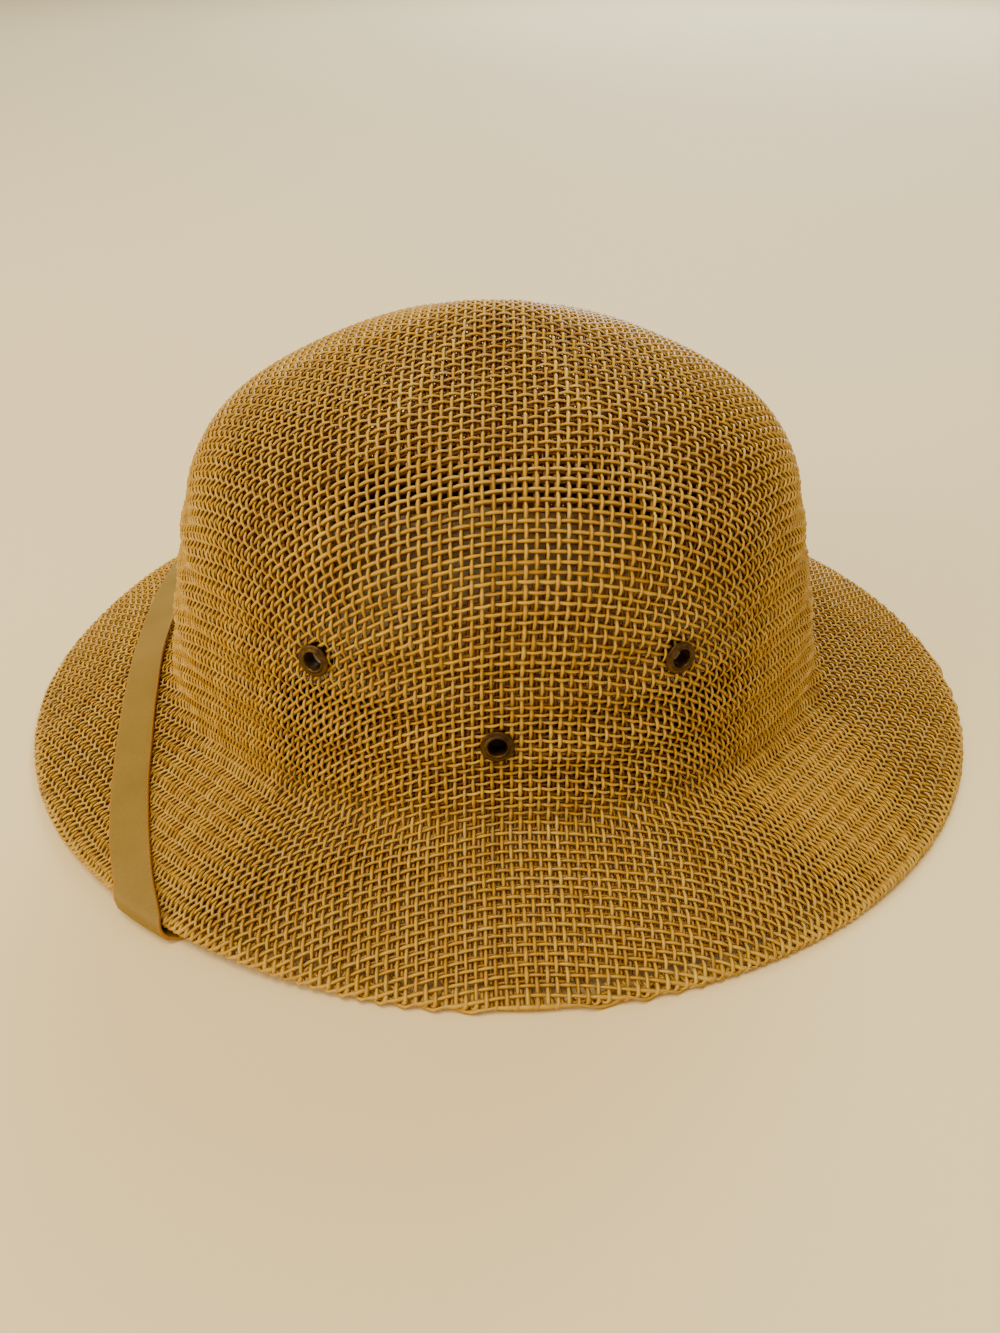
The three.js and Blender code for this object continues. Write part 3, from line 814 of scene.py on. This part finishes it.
def strap_section(sides):
    """Rounded flat section: offsets across the strap, heights in it, and how near each is to a cut edge."""
    turn = np.arange(sides) * 2 * np.pi / sides
    flat = np.sign(np.cos(turn)) * np.abs(np.cos(turn)) ** STRAP_EDGE_ROUND
    high = np.sign(np.sin(turn)) * np.abs(np.sin(turn)) ** STRAP_EDGE_ROUND
    cut = smoothstep(np.abs(flat), *CUT_EDGE_FROM)
    return flat * STRAP_WIDTH / 2, (high + 1) / 2 * STRAP_THICKNESS, cut


def strap_mesh():
    mm_per_degree = math.radians((section_rows[-1, 1] + section_rows[-1, 2]) / 2)
    route = np.array([
        (angle * mm_per_degree, -inboard if face == "top" else TURN_LENGTH + inboard)
        for angle, inboard, face in STRAP_ROUTE
    ])
    stations = smooth_route(route, STRAP_STATIONS)
    heading = unit(np.gradient(stations, axis=0))
    angle, across = np.radians(stations[:, 0] / mm_per_degree), stations[:, 1]
    level = np.full(STRAP_STATIONS, STRAP_GAP)
    step = 1e-3
    reach = np.linalg.norm(wrapped(angle + step, across, level) - wrapped(angle, across, level), axis=1)
    mm_per_radian = reach / step
    off_edge = np.maximum(-across, across - TURN_LENGTH)
    slant = (1 - smoothstep(off_edge, SLANT_FULL, SLANT_FADE)) * heading[:, 0] / heading[:, 1]
    offsets, heights, cut = strap_section(STRAP_SIDES)
    shape = bmesh.new()
    bmesh.ops.create_cone(shape, segments=STRAP_SIDES, radius1=1, radius2=1, depth=1, cap_ends=True)
    lengthwise = [edge for edge in shape.edges if abs(edge.verts[0].co.z - edge.verts[1].co.z) > 0.5]
    bmesh.ops.subdivide_edges(shape, edges=lengthwise, cuts=STRAP_STATIONS - 2, use_grid_fill=True)
    verts = list(shape.verts)
    places = np.array([vert.co for vert in verts])
    station = np.rint((places[:, 2] + 0.5) * (STRAP_STATIONS - 1)).astype(int)
    turn = np.arctan2(places[:, 1], places[:, 0]) / (2 * np.pi)
    side = np.rint(turn * STRAP_SIDES).astype(int) % STRAP_SIDES
    offset = offsets[side]
    round_oval = -offset * (heading[station, 1] + slant[station] * heading[station, 0])
    inward = offset * (heading[station, 0] - slant[station] * heading[station, 1])
    laid = wrapped(
        angle[station] + round_oval / mm_per_radian[station],
        across[station] + inward,
        STRAP_GAP + heights[side],
    )
    for vert, point in zip(verts, laid):
        vert.co = Vector(point)
    mesh = finished_mesh("chin_strap", shape)
    mesh.attributes.new("cut_edge", "FLOAT", "POINT").data.foreach_set("value", cut[side])
    return mesh


def strap_material():
    """Split leather: fine grain on the faces and a raw orange-brown cut edge."""
    material, tree, shader = grained_material(
        "split_leather", (134, 108, 44), (154, 126, 62),
        scale=2600, mottle=45, roughness=(0.45, 0.62), bump=0.35,
    )
    face = shader.inputs["Base Color"].links[0].from_socket
    cut = put(tree, "ShaderNodeAttribute", {}, attribute_name="cut_edge").outputs["Fac"]
    edge = put(tree, "ShaderNodeMix", {0: cut, 6: face, 7: srgb(172, 122, 56)}, data_type="RGBA")
    tree.links.new(edge.outputs[2], shader.inputs["Base Color"])
    return material


add_piece("chin_strap_leather", strap_mesh(), strap_material(), "strap", "chin_strap")

# Floor, light and camera. A plain pale floor, broad warm light from overhead and from the left, a weak fill
# from the front, a cool light from behind that glints on the top of the crown, and the camera at the
# photograph's height and slope.
FLOOR_SIZE = 16
FLOOR_COLOUR = (240, 220, 174)
FLOOR_ROUGHNESS = 0.8
floor_mesh = bpy.data.meshes.new("floor")
floor_shape = bmesh.new()
bmesh.ops.create_grid(floor_shape, x_segments=1, y_segments=1, size=FLOOR_SIZE / 2)
floor_shape.to_mesh(floor_mesh)
floor_shape.free()
floor = bpy.data.objects.new("floor", floor_mesh)
bpy.context.scene.collection.objects.link(floor)
floor_paint, _, floor_shader = new_material("pale_floor")
floor_shader.inputs["Base Color"].default_value = srgb(*FLOOR_COLOUR)
floor_shader.inputs["Roughness"].default_value = FLOOR_ROUGHNESS
floor_mesh.materials.append(floor_paint)
floor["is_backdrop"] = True

WARM = (1, 0.88, 0.68)
COOL = (0.74, 0.87, 1)
LIGHT_AIM = (0, 0, 0.06)
LIGHTS = {
    # place, size, watts, colour
    "overhead": ((-0.4, -0.3, 1.9), 1, 19, WARM),
    "side": ((-1.5, -0.7, 0.8), 1, 11, WARM),
    "fill": ((0.3, -1.5, 1), 1, 3, WARM),
    "behind": ((0.9, 3.2, 2), 2, 90, COOL),
}
for light_name, (place, size, watts, colour) in LIGHTS.items():
    lamp = bpy.data.lights.new(light_name, "AREA")
    lamp.size = size
    lamp.energy = watts
    lamp.color = colour
    light = bpy.data.objects.new(light_name, lamp)
    light.location = place
    light.rotation_euler = (Vector(LIGHT_AIM) - Vector(place)).to_track_quat("-Z", "Y").to_euler()
    bpy.context.scene.collection.objects.link(light)
STUDIO_COLOUR = (1, 0.92, 0.8, 1)
STUDIO_STRENGTH = 0.48
world = bpy.data.worlds.new("studio")
world.use_nodes = True
studio = world.node_tree.nodes["Background"].inputs
studio["Color"].default_value = STUDIO_COLOUR
studio["Strength"].default_value = STUDIO_STRENGTH
bpy.context.scene.world = world

CAMERA_PLACE = (0.0007, -0.287, 0.229)
CAMERA_SLOPE = 38.13
CAMERA_LENS = 34.96
camera_data = bpy.data.cameras.new("camera")
camera_data.sensor_fit = "HORIZONTAL"
camera_data.sensor_width = 36
camera_data.lens = CAMERA_LENS
camera_data.clip_start = 0.01
camera = bpy.data.objects.new("camera", camera_data)
camera.location = CAMERA_PLACE
camera.rotation_euler = (math.radians(90 - CAMERA_SLOPE), 0, 0)
bpy.context.scene.collection.objects.link(camera)
bpy.context.scene.camera = camera
bpy.context.scene.view_settings.look = "AgX - Medium High Contrast"

visual_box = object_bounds()
boxes = {"cad": cad_box, "visual": visual_box}
{name: [list(map(float, corner)) for corner in box] for name, box in boxes.items()}
